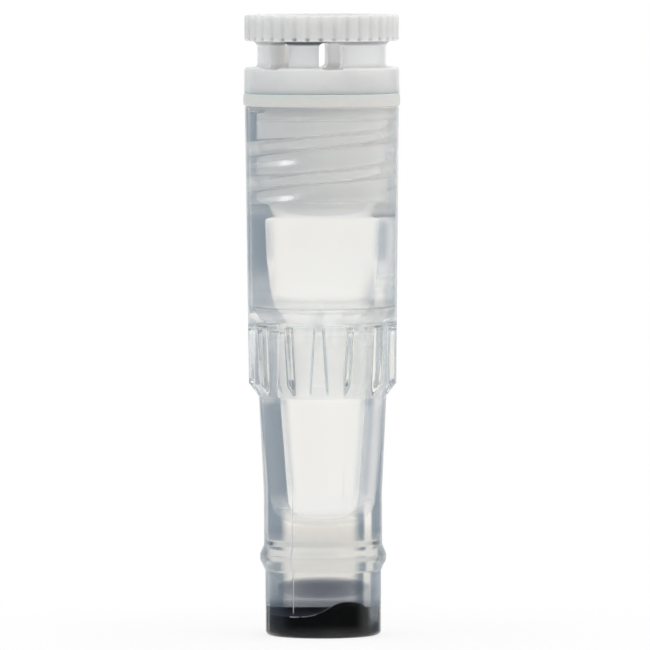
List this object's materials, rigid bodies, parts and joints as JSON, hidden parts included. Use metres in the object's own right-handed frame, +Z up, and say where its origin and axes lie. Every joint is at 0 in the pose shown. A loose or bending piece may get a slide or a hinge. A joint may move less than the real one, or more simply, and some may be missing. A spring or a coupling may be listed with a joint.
{
  "type": "cryovial",
  "caption": "Small clear storage tube with a threaded mouth, a hollow screw cap on a sealing ring, grip ribs round its collar and a dark insert in its foot.",
  "frame": {"origin": "centre of the foot's underside, on the tube's axis", "axes": "+Z up along the tube's axis to the cap, -Y the front, +X to the right of the front"},
  "size_m": [0.0088, 0.0086, 0.0344],
  "materials": {
    "clear_wall": "clear polypropylene, glossy and faintly milky",
    "natural_cap": "natural polypropylene, translucent, satin",
    "pale_seal": "pale elastomer, matt",
    "black_base": "black, matt"
  },
  "bodies": {
    "tube": {"tube": "clear_wall", "code_base": "black_base"},
    "seal": {"seal_ring": "pale_seal"},
    "cap": {"screw_cap": "natural_cap"}
  },
  "joints": [
    {"name": "cap_lift", "type": "slide", "parent": "tube", "child": "seal", "axis": [0, 0, 1], "range_m": [0, 0.00634]},
    {"name": "cap_turn", "type": "hinge", "parent": "seal", "child": "cap", "pos_m": [0, 0, 0.02935], "axis": [0, 0, 1], "range_deg": [0, 1170]}
  ],
  "couplings": [
    {"joint": "cap_turn", "follows": "cap_lift", "rad_per_m": 3222.1}
  ]
}
